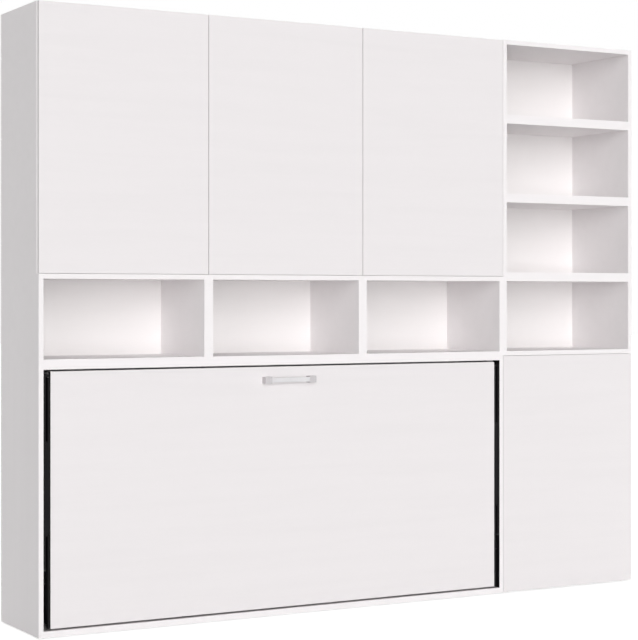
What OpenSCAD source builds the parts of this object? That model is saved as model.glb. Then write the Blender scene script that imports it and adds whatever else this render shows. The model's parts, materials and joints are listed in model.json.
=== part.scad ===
// Wall unit with a sideways fold-away single bed. The front panel of the bed is also the
// fold-down desk. Beside the bed stands a storage tower, and above it run open cubbies and
// three tall cupboards. X runs along the wall, Y from front to back, Z up from the floor.

/* [Whole unit] */
// Width of one module; the bed takes three modules and the tower one
module_w = 700; // [680:5:720]
// Depth of the cabinets, from the front panels to the wall
unit_depth = 410; // [400:5:440]
// Height of one cell of the grid; the unit is seven cells high
cell_h = 338; // [337:1:342]
// Height of the glides under the unit
glide_h = 4; // [3:1:6]

/* [Boards] */
// Thickness of the boards, doors and desk top
board_t = 19; // [18:0.5:19]
// Thickness of the bed cabinet's bottom board
base_t = 23; // [22:1:25]
// Thickness of the thin back panels
back_t = 5; // [3:1:8]
// Height of the rails that are screwed to the wall
wall_rail_h = 90; // [70:5:110]
// Radius of the screw holes in the wall rails
wall_hole_r = 3.25; // [2.5:0.25:4]

/* [Fold-away bed] */
// Width of the black gap on each side of the bed front
gap_w = 26; // [26:1:28]
// Height of the bed's turning axis above the cabinet's underside
fold_z = 200; // [200:1:204]
// Distance of the bed's turning axis behind the front
fold_y = 30; // [29:1:31]
// Length of the mattress
mattress_l = 1950; // [1850:10:1960]
// Width of the mattress
mattress_w = 860; // [760:10:870]
// Thickness of the mattress
mattress_t = 150; // [120:10:160]
// Number of slats
slat_n = 14; // [10:1:16]
// Width of one slat
slat_w = 60; // [45:5:65]

/* [Fold-down desk] */
// Height of the desk's fixed pivot above the cabinet's underside, with the desk open
desk_z = 722; // [718:1:722]
// Height of the lower guide roller with the desk closed
roller_z = 40; // [39:1:42]
// Height of the desk panel's lower edge with the desk closed
leaf_z0 = 31; // [31:0.5:32]
// Gap between the desk panel and the board above it
leaf_gap = 7; // [5:0.5:7]

/* [Handle] */
// Length of the handle
handle_l = 230; // [200:2:300]
// Height of the handle's feet
handle_h = 26; // [22:1:34]
// Reach of the handle in front of the panel
handle_reach = 30; // [26:1:34]
// Width of one handle foot
handle_foot_w = 30; // [28:1:40]

/* [Doors] */
// Gap between two doors
door_gap = 3; // [2:0.5:4]
// Number of hinges on each door
hinge_n = 3; // [2:1:4]

/* [Hidden] */
$fn = 48;

// Places of the grid
left_x = -2 * module_w;
tower_x = module_w;
bed_cx = -module_w / 2;
front_y = -(unit_depth + handle_reach) / 2 + handle_reach;
back_y = front_y + unit_depth;
bed_top_z = glide_h + 3 * cell_h;
cubby_top_z = bed_top_z + cell_h;
unit_top_z = glide_h + 7 * cell_h;

// Door layer in front of the cupboards
door_back = board_t + 2;

// Layers across the black side gap, counted from the cabinet's outer face
trim_t = 1.5;
leg_u = board_t + 2;
leg_t = 7;
arm_u = board_t + 10.5;
arm_t = 6;
track_u = board_t + 18;
track_w = 7;
track_wall = 1.5;
plate_u = board_t + 21;
plate_t = 4.5;
rail_u = board_t + gap_w;
rail_t = 2;
leaf_u = rail_u + rail_t;

// Layers from the front of the closed bed to the back
track_d = 17.5;
panel_y = 24;
panel_t = 12;
tube_y = panel_y + panel_t;
tube_w = 37;
slat_y = tube_y + tube_w + 1;
slat_t = 7;
mattress_y = slat_y + slat_t + 1.5;
bed_z0 = 45;
bed_z1 = 3 * cell_h - 49;

// Desk linkage: a slider and an arm of equal lengths, so the lower edge rises straight up
link_y = board_t / 2;
arm_l = (desk_z - roller_z) / 2;
knuckle_z = roller_z + arm_l;
leaf_z1 = 3 * cell_h - board_t - leaf_gap;
leg_pivot_z = leaf_z1 - 15;
pin_r = 5;
run_gap = 0.05;
bar_w = 16;
foot_h = 6;

// Bed legs, which hang straight down from the bed's free edge
bed_leg_y = 40;
bed_leg_z = bed_z1 - 15;
bed_leg_l = glide_h + fold_z + bed_leg_y - fold_y - 0.5;

// Gas struts: the fixed upper end, and the lower end on the bed
strut_y = 60;
strut_z = 440;
stud_y = fold_y + 25;
stud_z = fold_z - 90;
strut_len = sqrt(pow(strut_y - stud_y, 2) + pow(strut_z - stud_z, 2));
strut_tilt = atan2(stud_y - strut_y, strut_z - stud_z);
strut_u = board_t + 11;

// Helpers -------------------------------------------------------------------------------

// A box between two corners, given by its lowest and highest X, Y and Z
module slab(x0, x1, y0, y1, z0, z1) {
    translate([x0, y0, z0]) cube([x1 - x0, y1 - y0, z1 - z0]);
}

// The same, with Y counted from the front and Z from the cabinet's underside
module piece(x0, x1, d0, d1, h0, h1) {
    slab(x0, x1, front_y + d0, front_y + d1, glide_h + h0, glide_h + h1);
}

// A cylinder along X from x, at depth d and height h
module rod_x(x, len, r, d, h) {
    translate([x, front_y + d, glide_h + h]) rotate([0, 90, 0]) cylinder(h = len, r = r);
}

// A cylinder along Y from depth d, at x and height z
module rod_y(x, d, len, r, z) {
    translate([x, front_y + d, z]) rotate([-90, 0, 0]) cylinder(h = len, r = r);
}

// Draws its children at the bed's left end and mirrored at the right end
module both_ends() {
    children();
    translate([2 * bed_cx, 0, 0]) mirror([1, 0, 0]) children();
}

// A flat bar with round ends and a hole at its upper end, hanging down from a pivot
module hanging_bar(u, t, d, h, len, w, bore_r) {
    difference() {
        union() {
            piece(left_x + u, left_x + u + t, d - w / 2, d + w / 2, h - len, h);
            rod_x(left_x + u, t, w / 2, d, h);
        }
        rod_x(left_x + u - 1, t + 2, bore_r, d, h);
    }
}

// Four boards that make an open box one module wide; a hairline joint parts the boards
joint_t = 0.1;

module box_boards(x, z0, z1, d0) {
    slab(x, x + board_t, front_y + d0, back_y, z0, z1);
    slab(x + module_w - board_t, x + module_w, front_y + d0, back_y, z0, z1);
    for (z = [z0, z1 - board_t])
        slab(x + board_t + joint_t, x + module_w - board_t - joint_t,
            front_y + d0, back_y, z, z + board_t);
}

// Places of the connecting screws between two modules
connector_r = 4;
connector_y = [front_y + 70, back_y - 60];
connector_z = cubby_top_z + cell_h / 2;

module connector_holes(x) {
    for (y = connector_y)
        translate([x - board_t - 1, y, connector_z]) rotate([0, 90, 0])
            cylinder(h = 2 * board_t + 2, r = connector_r + run_gap);
}

module cubby(x) {
    color("white") box_boards(x, bed_top_z, cubby_top_z, 0);
}

module overhead(x, join_left, join_right) {
    color("white") difference() {
        box_boards(x, cubby_top_z, unit_top_z, door_back);
        if (join_left) connector_holes(x);
        if (join_right) connector_holes(x + module_w);
    }
}

// Bed cabinet ---------------------------------------------------------------------------

module bed_side(x) {
    color("white") slab(x, x + board_t, front_y, back_y, glide_h, bed_top_z);
}

module bed_top_board() {
    color("white")
        slab(left_x + board_t, tower_x - board_t, front_y, back_y, bed_top_z - board_t, bed_top_z);
}

module bed_base_board() {
    color("white")
        slab(left_x + board_t, tower_x - board_t, front_y, back_y, glide_h, glide_h + base_t);
}

module bed_back_panel() {
    color("whitesmoke")
        slab(left_x + board_t, tower_x - board_t, back_y - 8, back_y,
            glide_h + base_t, bed_top_z - board_t - wall_rail_h);
}

// Rails behind the cabinets' top boards, with the holes for the wall screws
rail_hole_x = 800;

module wall_rail(x0, x1, z1) {
    slab(x0 + board_t, x1 - board_t, back_y - board_t, back_y, z1 - wall_rail_h, z1);
}

module wall_rails() {
    color("white") difference() {
        union() {
            wall_rail(left_x, tower_x, bed_top_z - board_t);
            wall_rail(tower_x, tower_x + module_w, bed_top_z - board_t);
            for (x = [left_x : module_w : tower_x - module_w])
                wall_rail(x, x + module_w, unit_top_z - board_t);
        }
        for (z = [bed_top_z, unit_top_z], side = [-1, 1])
            translate([bed_cx + side * rail_hole_x, back_y + 1, z - board_t - wall_rail_h / 2])
                rotate([90, 0, 0]) cylinder(h = board_t + 2, r = wall_hole_r);
    }
}

glide_r = 14;
glide_inset = 40;

module floor_glides() {
    color("dimgray")
        for (x = [left_x + glide_inset, bed_cx - module_w / 2, bed_cx + module_w / 2,
                tower_x - glide_inset, tower_x + glide_inset, tower_x + module_w - glide_inset],
            y = [front_y + glide_inset, back_y - glide_inset])
            translate([x, y, 0]) cylinder(h = glide_h, r = glide_r);
}

trim_d = 48;
pivot_flange_r = 15;

module side_trims() {
    color("black") both_ends() difference() {
        piece(left_x + board_t, left_x + board_t + trim_t, 0.5, trim_d,
            base_t, 3 * cell_h - board_t);
        rod_x(left_x + board_t - 1, trim_t + 2, pivot_flange_r + 1, fold_y, fold_z);
    }
}

pivot_r = 6;

module bed_pivot_pins() {
    color("black") both_ends() union() {
        rod_x(left_x + board_t, plate_u + plate_t - board_t, pivot_r, fold_y, fold_z);
        rod_x(left_x + board_t, trim_t + 3, pivot_flange_r, fold_y, fold_z);
    }
}

strut_pin_r = 4;

module strut_brackets() {
    color("dimgray") both_ends() union() {
        piece(left_x + board_t, left_x + board_t + 3,
            strut_y - 9, strut_y + 9, strut_z - 18, strut_z + 18);
        rod_x(left_x + board_t, strut_u - board_t + 5, strut_pin_r, strut_y, strut_z);
    }
}

// Storage -------------------------------------------------------------------------------

module thin_back(x, z0, z1) {
    slab(x + board_t, x + module_w - board_t, back_y - back_t, back_y, z0 + board_t, z1);
}

module thin_backs() {
    color("whitesmoke") {
        for (x = [left_x : module_w : tower_x - module_w]) {
            thin_back(x, bed_top_z, cubby_top_z - board_t);
            thin_back(x, cubby_top_z, unit_top_z - board_t - wall_rail_h);
        }
        thin_back(tower_x, glide_h, bed_top_z - board_t - wall_rail_h);
        for (i = [3 : 6])
            thin_back(tower_x, glide_h + i * cell_h, glide_h + (i + 1) * cell_h - board_t);
    }
}

// Two loose shelves in each cupboard
module shelf_pair(x, z0) {
    for (i = [1, 2])
        slab(x + board_t + 0.5, x + module_w - board_t - 0.5,
            front_y + door_back + 12, back_y - back_t,
            z0 + i * cell_h - board_t / 2, z0 + i * cell_h + board_t / 2);
}

module cupboard_shelves() {
    color("white") {
        for (x = [left_x : module_w : tower_x - module_w]) shelf_pair(x, cubby_top_z);
        shelf_pair(tower_x, glide_h);
    }
}

// Pins in the cupboards' sides, four under each shelf
shelf_pin_r = 2.5;
shelf_pin_l = 8;

module pins_of_pair(x, z0) {
    for (i = [1, 2], y = [front_y + door_back + 50, back_y - 60],
            x_pin = [x + board_t, x + module_w - board_t - shelf_pin_l])
        translate([x_pin, y, z0 + i * cell_h - board_t / 2 - shelf_pin_r])
            rotate([0, 90, 0]) cylinder(h = shelf_pin_l, r = shelf_pin_r);
}

module shelf_pins() {
    color("silver") {
        for (x = [left_x : module_w : tower_x - module_w]) pins_of_pair(x, cubby_top_z);
        pins_of_pair(tower_x, glide_h);
    }
}

module tower_cube(i) {
    color("white")
        box_boards(tower_x, glide_h + (2 + i) * cell_h, glide_h + (3 + i) * cell_h, 0);
}

module module_connectors() {
    color("silver")
        for (x = [left_x + module_w, left_x + 2 * module_w], y = connector_y)
            translate([x, y, connector_z]) rotate([0, 90, 0]) {
                cylinder(h = 2 * board_t, r = connector_r, center = true);
                for (end = [-1, 1])
                    translate([0, 0, end * (board_t + 0.9)])
                        cylinder(h = 1.8, r = 2 * connector_r, center = true);
            }
}

// Doors: each is given by its module's left edge, its lowest and highest Z, and the side
// of its hinges, -1 for left and 1 for right
door_y = front_y;
cup_r = 17.5;
cup_depth = 12;
cup_inset = 22.5;

function door_edge(x, side) = side < 0 ? x + door_gap / 2 : x + module_w - door_gap / 2;
function hinge_z(z0, z1, i) = z0 + 100 + i * (z1 - z0 - 200) / (hinge_n - 1);
function cup_x(x, side) = door_edge(x, side) - side * cup_inset;

module door(x, z0, z1, side) {
    color("white") difference() {
        slab(x + door_gap / 2, x + module_w - door_gap / 2, door_y, door_y + board_t,
            z0 + door_gap / 2, z1 - door_gap / 2);
        for (i = [0 : hinge_n - 1])
            rod_y(cup_x(x, side), board_t - cup_depth, cup_depth + 1, cup_r + run_gap,
                hinge_z(z0, z1, i));
    }
}

// Hinge cup with its flange on the door's inner face
module hinge_cups(x, z0, z1, side) {
    flange_h = 60;
    flange_w = 16;
    color("silver")
        for (i = [0 : hinge_n - 1]) {
            z = hinge_z(z0, z1, i);
            cx = cup_x(x, side);
            difference() {
                union() {
                    rod_y(cx, board_t - cup_depth + 0.2, cup_depth - 0.2, cup_r, z);
                    slab(cx - flange_w / 2, cx + flange_w / 2, front_y + board_t,
                        front_y + board_t + 1.2, z - flange_h / 2, z + flange_h / 2);
                }
                rod_y(cx, board_t - cup_depth + 2, cup_depth, cup_r - 2, z);
            }
        }
}

// Mounting plate and arm on the cupboard's side, one for each hinge
module plate_row(x, z0, z1, side) {
    wall_x = side < 0 ? x + board_t : x + module_w - board_t;
    for (i = [0 : hinge_n - 1]) {
        z = hinge_z(z0, z1, i);
        translate([wall_x, front_y + door_back, z]) mirror([side < 0 ? 0 : 1, 0, 0]) {
            translate([0, 16, -24]) cube([3, 34, 48]);
            translate([3, 2, -8]) cube([9, 62, 16]);
        }
    }
}

module hinge_plates() {
    color("silver") {
        plate_row(left_x, cubby_top_z, unit_top_z, -1);
        plate_row(left_x + module_w, cubby_top_z, unit_top_z, -1);
        plate_row(left_x + 2 * module_w, cubby_top_z, unit_top_z, 1);
        plate_row(tower_x, glide_h, bed_top_z, 1);
    }
}

// Push-to-open latches under the cupboards' top boards, near the doors' free edges
latch_r = 4;
latch_w = 16;
latch_l = 60;
latch_gap = 0.3;

function latch_x(x, side) = side < 0 ? x + module_w - board_t - 40 : x + board_t + 40;
function latch_z(z1) = z1 - board_t - latch_w / 2;

module latch_body(x, z1, side) {
    difference() {
        translate([latch_x(x, side) - latch_w / 2, front_y + door_back + 2,
                latch_z(z1) - latch_w / 2])
            cube([latch_w, latch_l, latch_w]);
        rod_y(latch_x(x, side), door_back, latch_l - 8, latch_r + run_gap, latch_z(z1));
    }
}

module latch_bodies() {
    color("gainsboro") {
        latch_body(left_x, unit_top_z, -1);
        latch_body(left_x + module_w, unit_top_z, -1);
        latch_body(left_x + 2 * module_w, unit_top_z, 1);
        latch_body(tower_x, bed_top_z, 1);
    }
}

module plunger(x, z1, side) {
    color("gray")
        rod_y(latch_x(x, side), board_t + latch_gap, 46, latch_r, latch_z(z1));
}

// Folding bed ---------------------------------------------------------------------------

module base_panel() {
    color("whitesmoke")
        piece(left_x + leaf_u, tower_x - leaf_u, panel_y, panel_y + panel_t,
            bed_z0 - 5, bed_z1 + 15);
}

// Square tubes: two long ones, one at each end and one across the middle
module bed_frame() {
    frame_u = plate_u + plate_t;
    x0 = left_x + frame_u;
    x1 = tower_x - frame_u;
    color("dimgray") {
        for (h = [bed_z0, bed_z1 - tube_w])
            piece(x0 + tube_w + joint_t, x1 - tube_w - joint_t,
                tube_y, tube_y + tube_w, h, h + tube_w);
        for (x = [x0, x1 - tube_w])
            piece(x, x + tube_w, tube_y, tube_y + tube_w, bed_z0, bed_z1);
        piece(bed_cx - tube_w / 2, bed_cx + tube_w / 2, tube_y, tube_y + tube_w,
            bed_z0 + tube_w + joint_t, bed_z1 - tube_w - joint_t);
    }
}

// Steel plates on the bed's ends, with the fold bearing, the strut stud and the leg pivot
module bed_side_plates() {
    color("black") both_ends() difference() {
        union() {
            piece(left_x + plate_u, left_x + plate_u + plate_t, track_d,
                tube_y + tube_w, bed_z0, bed_z1);
            rod_x(left_x + strut_u + 5, plate_u - strut_u - 5, strut_pin_r, stud_y, stud_z);
            rod_x(left_x + arm_u - 1, plate_u - arm_u + 1, pin_r, bed_leg_y, bed_leg_z);
        }
        rod_x(left_x + plate_u - 1, plate_t + 2, pivot_r + run_gap, fold_y, fold_z);
    }
}

slat_first_x = left_x + leaf_u + 60;
slat_pitch = (tower_x - leaf_u - 60 - slat_w - slat_first_x) / (slat_n - 1);
slat_h0 = bed_z0 + 8;
slat_h1 = bed_z1 - 8;

module slats() {
    color("burlywood")
        for (i = [0 : slat_n - 1]) {
            x = slat_first_x + i * slat_pitch;
            piece(x, x + slat_w, slat_y, slat_y + slat_t, slat_h0, slat_h1);
        }
}

// Plastic caps that hold the ends of the slats on the long tubes
cap_l = 26;

module slat_caps() {
    color("black")
        for (i = [0 : slat_n - 1], low = [true, false]) {
            x = slat_first_x + i * slat_pitch;
            h0 = low ? slat_h0 - 2 : slat_h1 + 2 - cap_l;
            difference() {
                piece(x - 2, x + slat_w + 2, slat_y - 1, slat_y + slat_t + 1, h0, h0 + cap_l);
                piece(x, x + slat_w, slat_y, slat_y + slat_t,
                    low ? slat_h0 : h0 - 1, low ? h0 + cap_l + 1 : slat_h1);
            }
        }
}

mattress_x = bed_cx - mattress_l / 2;
mattress_h = (bed_z0 + bed_z1 - mattress_w) / 2;
corner_r = 30;

module mattress() {
    color("white")
        translate([mattress_x, front_y + mattress_y + mattress_t, glide_h + mattress_h])
            rotate([90, 0, 0]) linear_extrude(mattress_t)
                translate([corner_r, corner_r]) offset(r = corner_r)
                    square([mattress_l - 2 * corner_r, mattress_w - 2 * corner_r]);
}

// Two flat straps that hold the mattress; each runs between two slats to the long tubes
strap_w = 40;
strap_t = 1.5;
strap_shift = slat_pitch * ((slat_n - 2) / 2 - floor((slat_n - 1) / 4));

module mattress_straps() {
    out_d = mattress_y + mattress_t + 0.5;
    color("gray")
        for (side = [-1, 1]) {
            x = bed_cx + side * strap_shift - strap_w / 2;
            difference() {
                piece(x, x + strap_w, tube_y + tube_w, out_d + strap_t,
                    mattress_h - 0.5 - strap_t, mattress_h + mattress_w + 0.5 + strap_t);
                piece(x - 1, x + strap_w + 1, tube_y, out_d,
                    mattress_h - 0.5, mattress_h + mattress_w + 0.5);
            }
        }
}

// Upright channels beside the desk panel: the lower rollers run in them, the arm pivots
// stand out of them, and a notch lets the arms' lower pins out at the front
module desk_tracks() {
    x0 = left_x + track_u;
    notch = pin_r + 1.5;
    color("black") both_ends() difference() {
        union() {
            difference() {
                piece(x0, x0 + track_w, track_wall, track_d, roller_z - 7, bed_z1);
                piece(x0 + track_wall, x0 + track_w + 1, 2 * track_wall,
                    track_d - track_wall, roller_z - 8, bed_z1 + 1);
            }
            rod_x(left_x + arm_u - 0.5, x0 - left_x - arm_u + 0.5, pin_r, link_y, desk_z);
        }
        piece(x0 - 1, x0 + track_w + 1, 0, link_y, knuckle_z - notch, knuckle_z + notch);
        rod_x(x0 - 1, track_w + 2, notch, link_y, knuckle_z);
        piece(x0 - 1, x0 + track_w + 1, 0, link_y, leg_pivot_z - notch, bed_z1 + 1);
        rod_x(x0 - 1, track_w + 2, notch, link_y, leg_pivot_z);
    }
}

bumper_x = [-850, -300, 300, 850];

module leaf_bumpers() {
    color("dimgray")
        for (x = bumper_x)
            rod_y(bed_cx + x, board_t + 0.5, panel_y - board_t - 0.5, 7, glide_h + bed_z1 - 10);
}

// Folding desk --------------------------------------------------------------------------

module desk_arms() {
    color("black") both_ends() difference() {
        union() {
            hanging_bar(arm_u, arm_t, link_y, desk_z, arm_l, bar_w, pin_r + run_gap);
            rod_x(left_x + arm_u, arm_t, bar_w / 2, link_y, knuckle_z);
        }
        rod_x(left_x + arm_u - 1, arm_t + 2, pin_r + run_gap, link_y, knuckle_z);
    }
}

module desk_leaf() {
    color("white")
        piece(left_x + leaf_u, tower_x - leaf_u, 0, board_t, leaf_z0, leaf_z1);
}

module leaf_edge_rails() {
    x0 = left_x + rail_u;
    color("black") both_ends() union() {
        piece(x0, x0 + rail_t, 2, board_t - 2, leaf_z0, leaf_z1);
        rod_x(x0 - 6, 6, 3, link_y, roller_z);
        rod_x(left_x + arm_u, rail_u - arm_u, pin_r, link_y, knuckle_z);
        rod_x(left_x + leg_u, rail_u - leg_u, pin_r, link_y, leg_pivot_z);
    }
}

module track_rollers() {
    roller_r = (track_d - 3 * track_wall) / 2 - 0.4;
    color("dimgray") both_ends() difference() {
        rod_x(left_x + rail_u - 6, 4.5, roller_r, link_y, roller_z);
        rod_x(left_x + rail_u - 7, 6.5, 3 + run_gap, link_y, roller_z);
    }
}

handle_z = glide_h + leaf_z1 - 52;
handle_bar_h = handle_h - 8;

module handle_bar() {
    inner = handle_l / 2 - handle_foot_w;
    color("silver")
        slab(bed_cx - inner, bed_cx + inner, front_y - handle_reach + 1,
            front_y - handle_reach + 11, handle_z - handle_bar_h / 2, handle_z + handle_bar_h / 2);
}

module handle_feet() {
    color("darkgray")
        for (side = [-1, 1]) {
            x = bed_cx + side * (handle_l - handle_foot_w) / 2;
            slab(x - handle_foot_w / 2, x + handle_foot_w / 2, front_y - handle_reach, front_y,
                handle_z - handle_h / 2, handle_z + handle_h / 2);
        }
}

desk_leg_l = glide_h + desk_z - 0.5;

module desk_legs() {
    color("black") both_ends()
        hanging_bar(leg_u, leg_t, link_y, leg_pivot_z, desk_leg_l - foot_h, bar_w,
            pin_r + run_gap);
}

module desk_leg_feet() {
    low = leg_pivot_z - desk_leg_l;
    color("dimgray") both_ends()
        piece(left_x + leg_u, left_x + leg_u + leg_t, link_y - bar_w / 2, link_y + bar_w / 2,
            low, low + foot_h);
}

module bed_legs() {
    color("black") both_ends()
        hanging_bar(arm_u, arm_t, bed_leg_y, bed_leg_z, bed_leg_l - foot_h, bar_w,
            pin_r + run_gap);
}

module bed_leg_feet() {
    low = bed_leg_z - bed_leg_l;
    color("dimgray") both_ends()
        piece(left_x + arm_u, left_x + arm_u + arm_t,
            bed_leg_y - bar_w / 2, bed_leg_y + bar_w / 2, low, low + foot_h);
}

// Gas struts ----------------------------------------------------------------------------

tube_r = 8;
rod_r = 4;
tube_l = 190;
eye_r = 9;
eye_t = 9;

// Places its children with the origin on the upper pivot and -Z along the strut
module on_strut() {
    both_ends()
        translate([left_x + strut_u, front_y + strut_y, glide_h + strut_z])
            rotate([strut_tilt, 0, 0]) children();
}

module eye() {
    rotate([0, 90, 0]) cylinder(h = eye_t, r = eye_r, center = true);
}

module strut_tubes() {
    color("black") on_strut() difference() {
        union() {
            eye();
            translate([0, 0, -tube_l]) cylinder(h = tube_l - eye_r + 2, r = tube_r);
        }
        rotate([0, 90, 0]) cylinder(h = eye_t + 12, r = strut_pin_r + run_gap, center = true);
        translate([0, 0, -tube_l + 10]) cylinder(h = tube_l - 30, r = tube_r - 2);
        translate([0, 0, -tube_l - 1]) cylinder(h = 12, r = rod_r + run_gap);
    }
}

module strut_rods() {
    stay = 172;
    color("silver") on_strut() union() {
        translate([0, 0, -strut_len + 3]) cylinder(h = strut_len - 3 - stay, r = rod_r);
        translate([0, 0, -stay - 8]) cylinder(h = 10, r = tube_r - 2 - run_gap);
        translate([0, 0, -strut_len]) eye();
    }
}

// Drawing -------------------------------------------------------------------------------

bed_side(left_x);  // bed_side_left
bed_side(tower_x - board_t);  // bed_side_right
bed_top_board();
bed_base_board();
bed_back_panel();
wall_rails();
floor_glides();
side_trims();
bed_pivot_pins();
strut_brackets();
cubby(left_x);  // cubby_left
cubby(left_x + module_w);  // cubby_middle
cubby(left_x + 2 * module_w);  // cubby_right
overhead(left_x, false, true);  // overhead_left
overhead(left_x + module_w, true, true);  // overhead_middle
overhead(left_x + 2 * module_w, true, false);  // overhead_right
color("white") box_boards(tower_x, glide_h, bed_top_z, door_back);  // tower_lower
tower_cube(1);  // tower_cube_1
tower_cube(2);  // tower_cube_2
tower_cube(3);  // tower_cube_3
tower_cube(4);  // tower_cube_4
thin_backs();
cupboard_shelves();
shelf_pins();
hinge_plates();
latch_bodies();
module_connectors();
base_panel();
bed_frame();
bed_side_plates();
slats();
slat_caps();
mattress();
mattress_straps();
desk_tracks();
leaf_bumpers();
desk_arms();
desk_leaf();
leaf_edge_rails();
track_rollers();
handle_bar();
handle_feet();
desk_legs();
desk_leg_feet();
bed_legs();
bed_leg_feet();
strut_tubes();
strut_rods();
door(left_x, cubby_top_z, unit_top_z, -1);  // door_left
door(left_x + module_w, cubby_top_z, unit_top_z, -1);  // door_middle
door(left_x + 2 * module_w, cubby_top_z, unit_top_z, 1);  // door_right
door(tower_x, glide_h, bed_top_z, 1);  // door_tower
hinge_cups(left_x, cubby_top_z, unit_top_z, -1);  // hinge_cups_left
hinge_cups(left_x + module_w, cubby_top_z, unit_top_z, -1);  // hinge_cups_middle
hinge_cups(left_x + 2 * module_w, cubby_top_z, unit_top_z, 1);  // hinge_cups_right
hinge_cups(tower_x, glide_h, bed_top_z, 1);  // hinge_cups_tower
plunger(left_x, unit_top_z, -1);  // plunger_left
plunger(left_x + module_w, unit_top_z, -1);  // plunger_middle
plunger(left_x + 2 * module_w, unit_top_z, 1);  // plunger_right
plunger(tower_x, bed_top_z, 1);  // plunger_tower
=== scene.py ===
"""Looks of the wall bed: materials, softened edges, mattress, light and camera."""
import json
import math

import bpy
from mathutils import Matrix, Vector, noise


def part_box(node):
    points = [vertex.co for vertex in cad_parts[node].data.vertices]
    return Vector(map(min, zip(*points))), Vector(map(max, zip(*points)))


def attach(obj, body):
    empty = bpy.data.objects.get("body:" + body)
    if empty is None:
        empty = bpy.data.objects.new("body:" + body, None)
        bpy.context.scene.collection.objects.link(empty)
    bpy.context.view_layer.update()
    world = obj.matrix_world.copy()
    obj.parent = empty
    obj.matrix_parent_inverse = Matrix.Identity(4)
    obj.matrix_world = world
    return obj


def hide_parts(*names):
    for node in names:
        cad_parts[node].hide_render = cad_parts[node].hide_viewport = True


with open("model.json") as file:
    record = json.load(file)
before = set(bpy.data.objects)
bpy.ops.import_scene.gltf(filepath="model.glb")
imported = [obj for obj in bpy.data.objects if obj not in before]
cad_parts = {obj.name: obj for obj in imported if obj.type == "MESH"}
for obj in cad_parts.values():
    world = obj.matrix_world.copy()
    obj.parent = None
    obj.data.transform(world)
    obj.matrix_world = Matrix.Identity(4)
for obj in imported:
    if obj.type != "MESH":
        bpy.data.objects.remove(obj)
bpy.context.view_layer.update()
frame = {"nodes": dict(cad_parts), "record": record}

# Photograph: frame size and horizon in pixels, lens and place found from its perspective
PHOTO_H = 640
HORIZON_Y = 297
FOCAL_PX = 1802
SENSOR = 36.0
CAMERA_AT = (-3.793, -6.504, 1.269)
CAMERA_TURN = -29.6

# Colours, linear
# The fronts' white is painted darker than the boards' white, as painted shade on the fronts
FRONT_WHITE_PAINTED_SHADE = (0.808, 0.778, 0.785)
WHITE_BOARD = (0.880, 0.851, 0.857)
BACK_WHITE = (0.858, 0.833, 0.830)
BLACK = (0.0075, 0.0068, 0.0078)


# Node helpers ---------------------------------------------------------------------------

def new_material(name):
    """A material with an empty node tree, its Principled shader and its output."""
    mat = bpy.data.materials.new(name)
    mat.use_nodes = True
    tree = mat.node_tree
    tree.nodes.clear()
    out = tree.nodes.new("ShaderNodeOutputMaterial")
    shader = tree.nodes.new("ShaderNodeBsdfPrincipled")
    tree.links.new(shader.outputs["BSDF"], out.inputs["Surface"])
    return mat, tree, shader


def place(tree, scale):
    """Object coordinates in metres, scaled along each axis."""
    coord = tree.nodes.new("ShaderNodeTexCoord")
    mapping = tree.nodes.new("ShaderNodeMapping")
    mapping.inputs["Scale"].default_value = scale
    tree.links.new(coord.outputs["Object"], mapping.inputs["Vector"])
    return mapping.outputs["Vector"]


def noise_at(tree, vector, scale, detail, roughness=0.5, distortion=0.0):
    """Noise between 0 and 1, with scale features to the metre."""
    tex = tree.nodes.new("ShaderNodeTexNoise")
    tex.inputs["Scale"].default_value = scale
    tex.inputs["Detail"].default_value = detail
    tex.inputs["Roughness"].default_value = roughness
    tex.inputs["Distortion"].default_value = distortion
    tree.links.new(vector, tex.inputs["Vector"])
    return tex.outputs["Fac"]


def ramp(tree, value, stops):
    """A colour ramp through (position, colour) stops."""
    node = tree.nodes.new("ShaderNodeValToRGB")
    elements = node.color_ramp.elements
    while len(elements) < len(stops):
        elements.new(0.5)
    for element, (at, colour) in zip(elements, stops):
        element.position = at
        element.color = (*colour, 1.0)
    tree.links.new(value, node.inputs["Fac"])
    return node.outputs["Color"]


def math_node(tree, operation, a, b):
    """A math node's result for two values, each a number or a socket."""
    node = tree.nodes.new("ShaderNodeMath")
    node.operation = operation
    for socket, value in zip(node.inputs, (a, b)):
        if isinstance(value, (int, float)):
            socket.default_value = value
        else:
            tree.links.new(value, socket)
    return node.outputs[0]


def span(tree, value, low, high):
    """Maps 0..1 to low..high."""
    node = tree.nodes.new("ShaderNodeMapRange")
    node.inputs["To Min"].default_value = low
    node.inputs["To Max"].default_value = high
    tree.links.new(value, node.inputs["Value"])
    return node.outputs["Result"]


def multiplied(tree, colour, other):
    """Two colours multiplied."""
    mix = tree.nodes.new("ShaderNodeMix")
    mix.data_type = "RGBA"
    mix.blend_type = "MULTIPLY"
    mix.inputs["Factor"].default_value = 1.0
    tree.links.new(colour, mix.inputs["A"])
    tree.links.new(other, mix.inputs["B"])
    return mix.outputs["Result"]


def bump(tree, shader, height, strength, distance):
    """Gives the shader a relief of the given height map."""
    node = tree.nodes.new("ShaderNodeBump")
    node.inputs["Strength"].default_value = strength
    node.inputs["Distance"].default_value = distance
    tree.links.new(height, node.inputs["Height"])
    tree.links.new(node.outputs["Normal"], shader.inputs["Normal"])


def shade(colour, factor):
    """The colour made darker or lighter."""
    return tuple(min(1.0, c * factor) for c in colour)


# Materials ------------------------------------------------------------------------------

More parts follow.
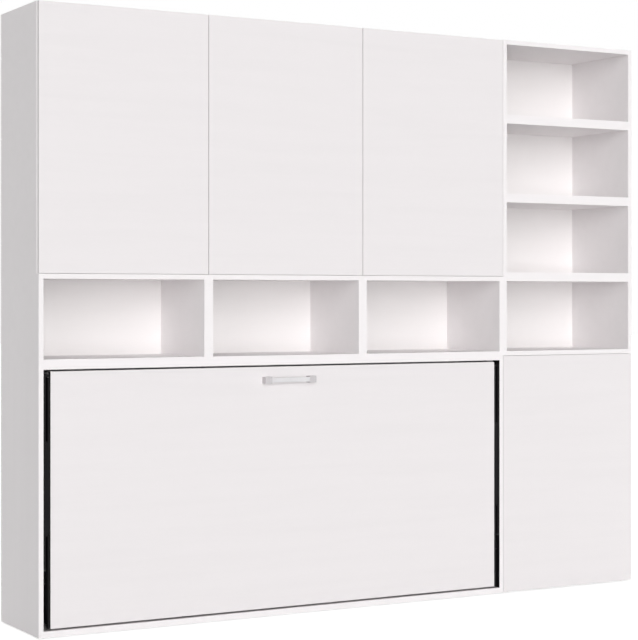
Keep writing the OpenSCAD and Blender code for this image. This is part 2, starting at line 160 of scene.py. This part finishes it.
def board_material(name, colour, along, depth=1.0):
    """White melamine printed with pale ash: long faint bands, fine pores and a soft sheen.

    along is the axis of the grain, 0 for X and 2 for Z.
    """
    mat, tree, shader = new_material(name)
    stretch = [1.0, 1.0, 1.0]
    stretch[along] = 0.06
    where = place(tree, stretch)
    bands = noise_at(tree, where, 22.0, detail=5.0, roughness=0.55, distortion=0.35)
    pores = noise_at(tree, where, 420.0, detail=2.0, roughness=0.6)
    clouds = noise_at(tree, place(tree, (1, 1, 1)), 1.7, detail=2.0)
    low = 1.0 - 0.012 * depth
    high = 1.0 + 0.006 * depth
    stops = [(0.30, shade(colour, low)), (0.52, colour), (0.70, shade(colour, high))]
    tone = ramp(tree, bands, stops)
    grey = ramp(tree, pores, [(0.30, (0.990,) * 3), (0.45, (1.0,) * 3)])
    tree.links.new(multiplied(tree, tone, grey), shader.inputs["Base Color"])
    tree.links.new(span(tree, clouds, 0.40, 0.56), shader.inputs["Roughness"])
    shader.inputs["Specular IOR Level"].default_value = 0.35
    height = math_node(tree, "ADD", pores, math_node(tree, "MULTIPLY", bands, 0.6))
    bump(tree, shader, height, 0.06, 0.0003)
    return mat


def satin_black(name, colour=BLACK, rough=0.42):
    """Powder coat: fine orange peel and slightly uneven sheen."""
    mat, tree, shader = new_material(name)
    where = place(tree, (1, 1, 1))
    peel = noise_at(tree, where, 900.0, detail=1.0)
    dust = noise_at(tree, where, 9.0, detail=4.0)
    tone = ramp(tree, dust, [(0.35, colour), (0.75, tuple(c + 0.003 for c in colour))])
    tree.links.new(tone, shader.inputs["Base Color"])
    tree.links.new(span(tree, dust, rough - 0.07, rough + 0.10), shader.inputs["Roughness"])
    shader.inputs["Specular IOR Level"].default_value = 0.10
    bump(tree, shader, peel, 0.18, 0.0003)
    return mat


def brushed_metal(name, colour, rough, along):
    """Satin metal with brush lines along one axis, 0 for X and 2 for Z, and a little wear."""
    mat, tree, shader = new_material(name)
    stretch = [1.0, 1.0, 1.0]
    stretch[along] = 0.02
    lines = noise_at(tree, place(tree, stretch), 1500.0, detail=2.0)
    smear = noise_at(tree, place(tree, (1, 1, 1)), 30.0, detail=4.0)
    tone = ramp(tree, lines, [(0.3, shade(colour, 0.93)), (0.7, shade(colour, 1.04))])
    tree.links.new(tone, shader.inputs["Base Color"])
    both = math_node(tree, "ADD", math_node(tree, "MULTIPLY", lines, 0.5),
                     math_node(tree, "MULTIPLY", smear, 0.5))
    tree.links.new(span(tree, both, rough - 0.08, rough + 0.12), shader.inputs["Roughness"])
    shader.inputs["Metallic"].default_value = 1.0
    bump(tree, shader, lines, 0.08, 0.0002)
    return mat


def moulded(name, colour, rough):
    """Moulded plastic or rubber: matt with a fine eroded texture."""
    mat, tree, shader = new_material(name)
    where = place(tree, (1, 1, 1))
    fine = noise_at(tree, where, 1300.0, detail=2.0)
    patch = noise_at(tree, where, 40.0, detail=3.0)
    tone = ramp(tree, patch, [(0.3, shade(colour, 0.92)), (0.7, shade(colour, 1.06))])
    tree.links.new(tone, shader.inputs["Base Color"])
    tree.links.new(span(tree, fine, rough - 0.06, rough + 0.08), shader.inputs["Roughness"])
    bump(tree, shader, fine, 0.2, 0.0002)
    return mat


def beech(name):
    """Steamed beech: warm bands along Z with short dark flecks."""
    mat, tree, shader = new_material(name)
    where = place(tree, (1.0, 1.0, 0.07))
    bands = noise_at(tree, where, 60.0, detail=5.0, distortion=0.6)
    flecks = noise_at(tree, place(tree, (1.0, 1.0, 0.12)), 700.0, detail=1.0)
    tone = ramp(tree, bands, [(0.3, (0.52, 0.33, 0.17)), (0.55, (0.64, 0.43, 0.24)),
                              (0.75, (0.71, 0.51, 0.31))])
    dark = ramp(tree, flecks, [(0.28, (0.72, 0.66, 0.60)), (0.40, (1.0, 1.0, 1.0))])
    tree.links.new(multiplied(tree, tone, dark), shader.inputs["Base Color"])
    tree.links.new(span(tree, bands, 0.38, 0.55), shader.inputs["Roughness"])
    bump(tree, shader, flecks, 0.15, 0.0003)
    return mat


# A wave texture of this scale, divided by a pitch, gives ribs that pitch apart
RIBS_AT_SCALE_1 = 0.314


def knit(name, colour, pitch, rough=0.85):
    """Woven or knitted cloth: two crossed sets of ribs, pitch metres apart."""
    mat, tree, shader = new_material(name)
    where = place(tree, (1, 1, 1))
    heights = []
    for direction in ("X", "Z"):
        wave = tree.nodes.new("ShaderNodeTexWave")
        wave.bands_direction = direction
        wave.inputs["Scale"].default_value = RIBS_AT_SCALE_1 / pitch
        wave.inputs["Distortion"].default_value = 0.6
        wave.inputs["Detail"].default_value = 1.0
        tree.links.new(where, wave.inputs["Vector"])
        heights.append(wave.outputs["Fac"])
    weave = math_node(tree, "MULTIPLY", heights[0], heights[1])
    soil = noise_at(tree, where, 5.0, detail=4.0)
    tone = ramp(tree, soil, [(0.3, shade(colour, 0.955)), (0.7, shade(colour, 1.02))])
    # The low parts of the weave are painted darker, as painted shade between the ribs
    rib_gap_shade = ramp(tree, weave, [(0.0, (0.86,) * 3), (0.5, (1.0,) * 3)])
    tree.links.new(multiplied(tree, tone, rib_gap_shade), shader.inputs["Base Color"])
    tree.links.new(span(tree, soil, rough - 0.05, rough + 0.05), shader.inputs["Roughness"])
    shader.inputs["Sheen Weight"].default_value = 0.25
    bump(tree, shader, weave, 0.35, pitch * 0.4)
    return mat


MATERIALS = {
    # The fronts take the darker white, which is painted shade
    "white_front": board_material("white_front", FRONT_WHITE_PAINTED_SHADE, 0),
    "white_board": board_material("white_board", WHITE_BOARD, 0),
    "white_upright": board_material("white_upright", WHITE_BOARD, 2),
    "thin_board": board_material("thin_board", BACK_WHITE, 0, depth=0.6),
    "black_laminate": satin_black("black_laminate", rough=0.6),
    "black_steel": satin_black("black_steel"),
    "frame_steel": satin_black("frame_steel", colour=(0.055, 0.056, 0.060), rough=0.45),
    "zinc_steel": brushed_metal("zinc_steel", (0.60, 0.60, 0.61), 0.34, along=2),
    "polished_rod": brushed_metal("polished_rod", (0.68, 0.68, 0.70), 0.16, along=2),
    "rubber": moulded("rubber", (0.022, 0.022, 0.024), 0.80),
    "dark_plastic": moulded("dark_plastic", (0.028, 0.028, 0.030), 0.55),
    "light_plastic": moulded("light_plastic", (0.62, 0.62, 0.61), 0.45),
    "beech": beech("beech"),
    "mattress_cover": knit("mattress_cover", (0.87, 0.86, 0.845), 0.0022),
    "mattress_piping": knit("mattress_piping", (0.52, 0.53, 0.55), 0.0012),
    "webbing": knit("webbing", (0.060, 0.064, 0.070), 0.0016, rough=0.7),
    "handle_bar_metal": brushed_metal("handle_bar_metal", (0.62, 0.61, 0.62), 0.42, along=0),
    "handle_foot_metal": brushed_metal("handle_foot_metal", (0.52, 0.50, 0.51), 0.38, along=2),
}

# Boards whose grain runs upwards
UPRIGHTS = ["bed_side_left", "bed_side_right"]
# Width of the softened edges by slot, and for every other slot
EDGES = {"white_front": 0.0010, "white_board": 0.0014, "beech": 0.0015}
FINE_EDGE = 0.0006
# Slots of small round parts, whose edges stay as they are
SHARP_SLOTS = ("zinc_steel", "polished_rod")


def dress_cad_nodes():
    """Gives each CAD node its slot's material and a small rounding on its sharp edges."""
    slots = {s["node"]: s["material_slot"] for s in frame["record"]["subparts"]}
    for name, obj in frame["nodes"].items():
        slot = slots[name]
        mat = MATERIALS["white_upright" if name in UPRIGHTS else slot]
        obj.data.materials.clear()
        obj.data.materials.append(mat)
        if slot in SHARP_SLOTS:
            continue
        mod = obj.modifiers.new("soft_edges", "BEVEL")
        mod.width = EDGES.get(slot, FINE_EDGE)
        mod.segments = 2
        mod.limit_method = "ANGLE"
        mod.angle_limit = math.radians(40)


dress_cad_nodes()


# Mattress -------------------------------------------------------------------------------

# The core before it swells: its margin inside the CAD block, corners and edges
CORE_MARGIN = 0.010
CORE_CORNER_R = 0.045
CORE_EDGE_R = 0.022
# Mesh size of the cover
VOXEL = 0.011
# Swelling as cloth: pressure, the most that a point may move, and frames simulated
PRESSURE = 4.0
SWELL_CAP = 0.009
SWELL_FRAMES = 20
# Quilting: distance, depth and width of the stitched channels, and the wrinkles between them
QUILT = 0.115
QUILT_DEPTH = 0.0030
CHANNEL_W = 0.009
WRINKLE = 0.0012
WRINKLES_PER_M = 26.0
# The quilting fades in towards the faces and away from their rims: start and width
FACE_START = 0.030
FACE_FADE = 0.018
RIM_START = 0.020
RIM_FADE = 0.040
# Seams: place behind each face, corners, depth in the cover, and the piping that covers them
SEAM_INSET = 0.017
SEAM_CORNER_R = 0.055
SEAM_DEPTH = 0.0015
PIPING_R = 0.0042
PIPING_STEP = 0.05
PIPING_SIDES = 8


def mesh_object(name, verts, faces, mat):
    """A new object in the scene, made of points and faces."""
    mesh = bpy.data.meshes.new(name)
    mesh.from_pydata(verts, [], faces)
    mesh.update()
    obj = bpy.data.objects.new(name, mesh)
    bpy.context.scene.collection.objects.link(obj)
    obj.data.materials.append(mat)
    return obj


def shade_smooth(obj):
    """Shades every face of the mesh smooth."""
    obj.data.polygons.foreach_set("use_smooth", [True] * len(obj.data.polygons))


def rounded_outline(x0, x1, z0, z1, radius, steps=8):
    """Points of a rounded rectangle in the X-Z plane, anticlockwise from the front."""
    points = []
    corners = [(x1 - radius, z0 + radius, -90), (x1 - radius, z1 - radius, 0),
               (x0 + radius, z1 - radius, 90), (x0 + radius, z0 + radius, 180)]
    for cx, cz, start in corners:
        for i in range(steps + 1):
            a = math.radians(start + 90 * i / steps)
            points.append((cx + radius * math.cos(a), cz + radius * math.sin(a)))
    return points


def apply_modifiers(obj):
    """Replaces the mesh by the evaluated one and removes the modifiers."""
    deps = bpy.context.evaluated_depsgraph_get()
    mesh = bpy.data.meshes.new_from_object(obj.evaluated_get(deps))
    obj.modifiers.clear()
    old = obj.data
    obj.data = mesh
    bpy.data.meshes.remove(old)


def swell(obj):
    """Blows the closed mesh up as cloth, with the movement capped."""
    start = [v.co.copy() for v in obj.data.vertices]
    mod = obj.modifiers.new("cloth", "CLOTH")
    settings = mod.settings
    settings.quality = 4
    settings.mass = 0.3
    settings.tension_stiffness = 30
    settings.compression_stiffness = 30
    settings.bending_stiffness = 2.0
    settings.use_pressure = True
    settings.uniform_pressure_force = PRESSURE
    settings.effector_weights.gravity = 0
    mod.collision_settings.use_collision = False
    mod.point_cache.frame_start = 1
    mod.point_cache.frame_end = SWELL_FRAMES
    scene = bpy.context.scene
    for f in range(1, SWELL_FRAMES + 1):
        scene.frame_set(f)
    apply_modifiers(obj)
    scene.frame_set(1)
    for v, home in zip(obj.data.vertices, start):
        move = v.co - home
        if move.length > SWELL_CAP:
            v.co = home + move * (SWELL_CAP / move.length)


def make_mattress():
    """A foam mattress in a knitted cover, swollen as cloth, then quilted and edged."""
    low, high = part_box("mattress")
    margin = Vector((CORE_MARGIN, CORE_MARGIN, CORE_MARGIN))
    a = low + margin
    b = high - margin
    outline = rounded_outline(a.x, b.x, a.z, b.z, CORE_CORNER_R)
    n = len(outline)
    verts = [(x, a.y, z) for x, z in outline] + [(x, b.y, z) for x, z in outline]
    faces = [tuple(range(n)), tuple(range(2 * n - 1, n - 1, -1))]
    faces += [(i, i + n, (i + 1) % n + n, (i + 1) % n) for i in range(n)]
    obj = mesh_object("mattress_body", verts, faces, MATERIALS["mattress_cover"])
    bev = obj.modifiers.new("round", "BEVEL")
    bev.width = CORE_EDGE_R
    bev.segments = 4
    bev.limit_method = "ANGLE"
    bev.angle_limit = math.radians(60)
    remesh = obj.modifiers.new("remesh", "REMESH")
    remesh.mode = "VOXEL"
    remesh.voxel_size = VOXEL
    apply_modifiers(obj)
    swell(obj)
    smooth = obj.modifiers.new("smooth", "SMOOTH")
    smooth.factor = 0.5
    smooth.iterations = 10
    sub = obj.modifiers.new("subdivide", "SUBSURF")
    sub.levels = 1
    sub.render_levels = 1
    apply_modifiers(obj)
    quilt(obj, low, high)
    shade_smooth(obj)
    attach(obj, "bed")
    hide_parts("mattress")
    return obj


def fade_in(distance, start, length):
    """0 up to start, then a straight rise to 1 over length."""
    return min(1.0, max(0.0, (distance - start) / length))


def quilt(obj, low, high):
    """Presses the two diagonal sets of stitched channels into both faces."""
    centre = (low + high) / 2
    half = (high.y - low.y) / 2
    for v in obj.data.vertices:
        face = fade_in(abs(v.co.y - centre.y), half - FACE_START, FACE_FADE)
        edge_x = min(v.co.x - low.x, high.x - v.co.x)
        edge_z = min(v.co.z - low.z, high.z - v.co.z)
        rim = fade_in(min(edge_x, edge_z), RIM_START, RIM_FADE)
        depth = 0.0
        for sign in (-1, 1):
            t = ((v.co.x - centre.x) + sign * (v.co.z - centre.z)) / (QUILT * math.sqrt(2))
            gap = abs(t - round(t)) * QUILT
            depth = max(depth, math.exp(-(gap / CHANNEL_W) ** 2))
        wrinkle = WRINKLE * noise.noise(v.co * WRINKLES_PER_M)
        shift = face * rim * (QUILT_DEPTH * depth - wrinkle)
        v.co.y -= math.copysign(shift, v.co.y - centre.y)


def ring_tube(name, points, radius, mat):
    """A round tube along a closed path, as a mesh swept ring by ring."""
    rings = len(points)
    verts = []
    for i, p in enumerate(points):
        ahead = (points[(i + 1) % rings] - points[i - 1]).normalized()
        across = ahead.cross(Vector((0, 1, 0))).normalized()
        up = across.cross(ahead).normalized()
        for k in range(PIPING_SIDES):
            a = 2 * math.pi * k / PIPING_SIDES
            verts.append(p + radius * (math.cos(a) * across + math.sin(a) * up))
    faces = []
    for i in range(rings):
        here = i * PIPING_SIDES
        after = (i + 1) % rings * PIPING_SIDES
        for k in range(PIPING_SIDES):
            m = (k + 1) % PIPING_SIDES
            faces.append((here + k, here + m, after + m, after + k))
    obj = mesh_object(name, verts, faces, mat)
    shade_smooth(obj)
    return obj


def evenly(points, step):
    """The closed path through points with no two neighbours further apart than step."""
    dense = []
    for p, q in zip(points, points[1:] + points[:1]):
        n = max(1, math.ceil((q - p).length / step))
        dense += [p.lerp(q, i / n) for i in range(n)]
    return dense


def make_piping(body):
    """A taped seam on the body's surface, round each face of the mattress."""
    low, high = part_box("mattress")
    for name, y in (("piping_back", high.y - SEAM_INSET), ("piping_front", low.y + SEAM_INSET)):
        path = rounded_outline(low.x, high.x, low.z, high.z, SEAM_CORNER_R, steps=10)
        points = evenly([Vector((x, y, z)) for x, z in path], PIPING_STEP)
        laid = []
        for i, p in enumerate(points):
            ahead = points[(i + 1) % len(points)] - points[i - 1]
            out = ahead.cross(Vector((0, -1, 0))).normalized()
            hit, where, _, _ = body.ray_cast(p + 0.02 * out, -out, distance=0.08)
            laid.append(where - SEAM_DEPTH * out if hit else p)
        obj = ring_tube(name, laid, PIPING_R, MATERIALS["mattress_piping"])
        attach(obj, "bed")


# Straps ---------------------------------------------------------------------------------

# Width and thickness of the webbing, its bends round the mattress, its tail and thin edges
STRAP_W = 0.040
STRAP_T = 0.0016
STRAP_BEND = 0.030
TAIL_L = 0.16
SELVEDGE = 0.0015
# Steps of a strap across each end of the mattress, round a bend and along its back
SIDE_STEPS = 29
BEND_STEPS = 8
TOP_STEPS = 80
# Room under a strap on the cover and on a seam, width of the rise over a seam, and how far
# the cover is looked for
STRAP_LIFT = 0.0004
PIPING_LIFT = 0.0012
PIPING_RISE_W = 0.010
STRAP_REACH = 0.03
# Ladder buckle: width, height, thickness of its bars, and its place above the strap
BUCKLE_W = 0.056
BUCKLE_H = 0.043
BUCKLE_BAR = 0.005
BUCKLE_LIFT = 0.0032


def strap_path(low, high):
    """(point, outward direction) pairs in the Y-Z plane round three sides of the mattress."""
    r = STRAP_BEND
    path = []
    for i in range(SIDE_STEPS + 1):
        path.append((low.y + (high.y - r - low.y) * i / SIDE_STEPS, low.z, 0.0, -1.0))
    for i in range(1, BEND_STEPS + 1):
        a = math.radians(-90 + 90 * i / BEND_STEPS)
        path.append((high.y - r + r * math.cos(a), low.z + r + r * math.sin(a),
                     math.cos(a), math.sin(a)))
    for i in range(1, TOP_STEPS):
        path.append((high.y, low.z + r + (high.z - low.z - 2 * r) * i / TOP_STEPS, 1.0, 0.0))
    for i in range(BEND_STEPS + 1):
        a = math.radians(90 * i / BEND_STEPS)
        path.append((high.y - r + r * math.cos(a), high.z - r + r * math.sin(a),
                     math.cos(a), math.sin(a)))
    for i in range(1, SIDE_STEPS + 1):
        path.append((high.y - r + (low.y - high.y + r) * i / SIDE_STEPS, high.z, 0.0, 1.0))
    return [(Vector((0, y, z)), Vector((0, ny, nz))) for y, z, ny, nz in path]


def over_seams(p):
    """How far a strap is held off the mattress where it crosses one of its seams."""
    low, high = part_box("mattress")
    gap = min(abs(p.y - low.y - SEAM_INSET), abs(p.y - high.y + SEAM_INSET))
    return (PIPING_R + PIPING_LIFT) * math.exp(-(gap / PIPING_RISE_W) ** 2)


def laid_on(body, path, x):
    """Moves the path's points along their directions until they lie on the body at x."""
    moves = []
    for p, out in path:
        start = Vector((x, p.y, p.z)) + STRAP_REACH * out
        hit, where, _, _ = body.ray_cast(start, -out, distance=2 * STRAP_REACH)
        moves.append((where - start).dot(out) + STRAP_REACH if hit else None)
    lifts = [m if m is not None else 0.0 for m in moves]
    for _ in range(3):
        around = zip([lifts[0]] + lifts, lifts, lifts[1:] + [lifts[-1]])
        lifts = [0.0 if m is None else max(m, sum(three) / 3) for m, three in zip(moves, around)]
    return [(p + (m + STRAP_LIFT + over_seams(p)) * out, out)
            for (p, out), m in zip(path, lifts)]


def add_band(verts, faces, path, x, width, thick):
    """Adds a flat woven band along the path, with thinned selvedges."""
    half = width / 2
    inner = half - SELVEDGE
    section = [(-half, thick / 2), (-inner, thick), (inner, thick),
               (half, thick / 2), (inner, 0.0), (-inner, 0.0)]
    first = len(verts)
    n = len(section)
    for p, out in path:
        verts += [Vector((x + dx, p.y, p.z)) + dn * out for dx, dn in section]
    for i in range(len(path) - 1):
        a = first + i * n
        for k in range(n):
            m = (k + 1) % n
            faces.append((a + k, a + m, a + n + m, a + n + k))
    faces.append(tuple(first + k for k in range(n - 1, -1, -1)))
    faces.append(tuple(first + (len(path) - 1) * n + k for k in range(n)))


def add_box(verts, faces, centre, size):
    """Adds a box by its centre and its size along X, Y and Z."""
    first = len(verts)
    for dz in (-0.5, 0.5):
        for dx, dy in ((-0.5, -0.5), (0.5, -0.5), (0.5, 0.5), (-0.5, 0.5)):
            verts.append(Vector(centre) + Vector((dx * size[0], dy * size[1], dz * size[2])))
    for face in ((3, 2, 1, 0), (4, 5, 6, 7), (0, 1, 5, 4), (1, 2, 6, 5), (2, 3, 7, 6), (3, 0, 4, 7)):
        faces.append(tuple(first + i for i in face))


def strap_tail(middle):
    """The path of the loose end, which lies on the strap and lifts a little on its way."""
    tail = []
    for p, out in middle[::-1]:
        along = (middle[-1][0].z - p.z) / TAIL_L
        if along > 1:
            break
        lift = STRAP_T * 1.2 + 0.004 * math.sin(math.pi * along) ** 2 + 0.003 * along
        tail.append((p + lift * out, out))
    return tail[::-1]


def make_buckle(name, x, at):
    """A ladder buckle of three cross bars between two side bars."""
    verts = []
    faces = []
    y = at.y + BUCKLE_LIFT
    for side in (-1, 0, 1):
        z = at.z + side * (BUCKLE_H - BUCKLE_BAR) / 2
        add_box(verts, faces, (x, y, z), (BUCKLE_W, 0.0040, BUCKLE_BAR))
    for side in (-1, 1):
        across = x + side * (BUCKLE_W - BUCKLE_BAR) / 2
        add_box(verts, faces, (across, y, at.z), (BUCKLE_BAR, 0.0042, BUCKLE_H))
    buckle = mesh_object(name, verts, faces, MATERIALS["dark_plastic"])
    mod = buckle.modifiers.new("soft_edges", "BEVEL")
    mod.width = 0.0011
    mod.segments = 2
    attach(buckle, "bed")


def make_strap(name, body, x, low, high):
    """One webbing strap laid over the mattress, with its loose tail and its buckle."""
    path = laid_on(body, strap_path(low, high), x)
    middle = [(p, out) for p, out in path if out.y > 0.999 and p.z < (low.z + high.z) / 2]
    verts = []
    faces = []
    add_band(verts, faces, path, x, STRAP_W, STRAP_T)
    add_band(verts, faces, strap_tail(middle), x, STRAP_W - 0.002, STRAP_T)
    strap = mesh_object(name, verts, faces, MATERIALS["webbing"])
    shade_smooth(strap)
    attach(strap, "bed")
    make_buckle(name + "_buckle", x, middle[-1][0])
    return strap


def make_straps(body):
    """Both straps; the left one stands for the CAD's straps."""
    low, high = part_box("mattress_straps")
    for name, x in (("strap_left", low.x + STRAP_W / 2), ("strap_right", high.x - STRAP_W / 2)):
        strap = make_strap(name, body, x, low, high)
        if name == "strap_left":
            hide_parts("mattress_straps")


mattress = make_mattress()
make_piping(mattress)
make_straps(mattress)


# Stage ----------------------------------------------------------------------------------

def camera_ray(tree):
    """1 for rays that show the background: camera, glossy and transmission rays."""
    path = tree.nodes.new("ShaderNodeLightPath")
    both = math_node(tree, "MAXIMUM", path.outputs["Is Camera Ray"], path.outputs["Is Glossy Ray"])
    return math_node(tree, "MAXIMUM", both, path.outputs["Is Transmission Ray"])


# Light from the white surroundings; the floor's grey, glow towards the camera, half width
# and drop, which keeps it clear of the feet
AMBIENT = 0.02
FLOOR_GREY = 0.48
FLOOR_LIFT = 0.75
FLOOR_SIZE = 40.0
FLOOR_DROP = 0.0005
# Soft lamps: strength, height above the horizon, turn to the side and spread, in degrees.
# The four front ones are a tall soft box; the low one is light thrown up by the floor.
LAMPS = {"front_1": (0.69, -4, -16, 12), "front_2": (0.67, 6, -16, 12),
         "front_3": (0.57, 17, -16, 13), "front_4": (0.48, 30, -16, 16),
         "low": (0.20, -40, -20, 50), "side": (0.25, 8, -45, 25), "left": (0.33, 12, -80, 40),
         "top": (1.20, 78, 180, 50), "back": (1.52, 15, 165, 40), "right": (1.28, 15, 95, 40)}


def make_world():
    """White surroundings that the camera sees in full and that light the object a little."""
    world = bpy.data.worlds.new("studio")
    bpy.context.scene.world = world
    world.use_nodes = True
    tree = world.node_tree
    tree.nodes.clear()
    out = tree.nodes.new("ShaderNodeOutputWorld")
    back = tree.nodes.new("ShaderNodeBackground")
    tree.links.new(back.outputs[0], out.inputs["Surface"])
    back.inputs["Color"].default_value = (1, 1, 1, 1)
    tree.links.new(span(tree, camera_ray(tree), AMBIENT, 1.0), back.inputs["Strength"])


def make_floor():
    """A floor that shows nearly white and takes the object's soft shadow."""
    size = FLOOR_SIZE
    corners = [(-size, -size, 0), (size, -size, 0), (size, size, 0), (-size, size, 0)]
    mat, tree, shader = new_material("floor")
    shader.inputs["Base Color"].default_value = (FLOOR_GREY, FLOOR_GREY, FLOOR_GREY, 1)
    shader.inputs["Roughness"].default_value = 0.9
    shader.inputs["Specular IOR Level"].default_value = 0.0
    shader.inputs["Emission Color"].default_value = (1, 1, 1, 1)
    lift = math_node(tree, "MULTIPLY", camera_ray(tree), FLOOR_LIFT)
    tree.links.new(lift, shader.inputs["Emission Strength"])
    floor = mesh_object("floor", corners, [(0, 1, 2, 3)], mat)
    floor.location.z = -FLOOR_DROP
    floor.visible_shadow = False


def make_lights():
    """The soft lamps, each shining from its height and turn."""
    for name, (strength, height, turn, spread) in LAMPS.items():
        lamp = bpy.data.lights.new(name, "SUN")
        lamp.energy = strength
        lamp.angle = math.radians(spread)
        lamp.cycles.use_multiple_importance_sampling = False
        obj = bpy.data.objects.new(name, lamp)
        obj.rotation_euler = (math.radians(90 - height), 0, math.radians(turn))
        bpy.context.scene.collection.objects.link(obj)


def make_camera():
    """A level camera at the photograph's place; its shift puts the horizon where it was."""
    cam = bpy.data.cameras.new("camera")
    cam.sensor_fit = "VERTICAL"
    cam.sensor_height = SENSOR
    cam.sensor_width = SENSOR
    cam.lens = FOCAL_PX * SENSOR / PHOTO_H
    cam.shift_y = (HORIZON_Y - PHOTO_H / 2) / PHOTO_H
    obj = bpy.data.objects.new("camera", cam)
    obj.location = CAMERA_AT
    obj.rotation_euler = (math.radians(90), 0, math.radians(CAMERA_TURN))
    bpy.context.scene.collection.objects.link(obj)
    bpy.context.scene.camera = obj


make_world()
make_floor()
make_lights()
make_camera()
bpy.context.scene.view_settings.view_transform = "Standard"
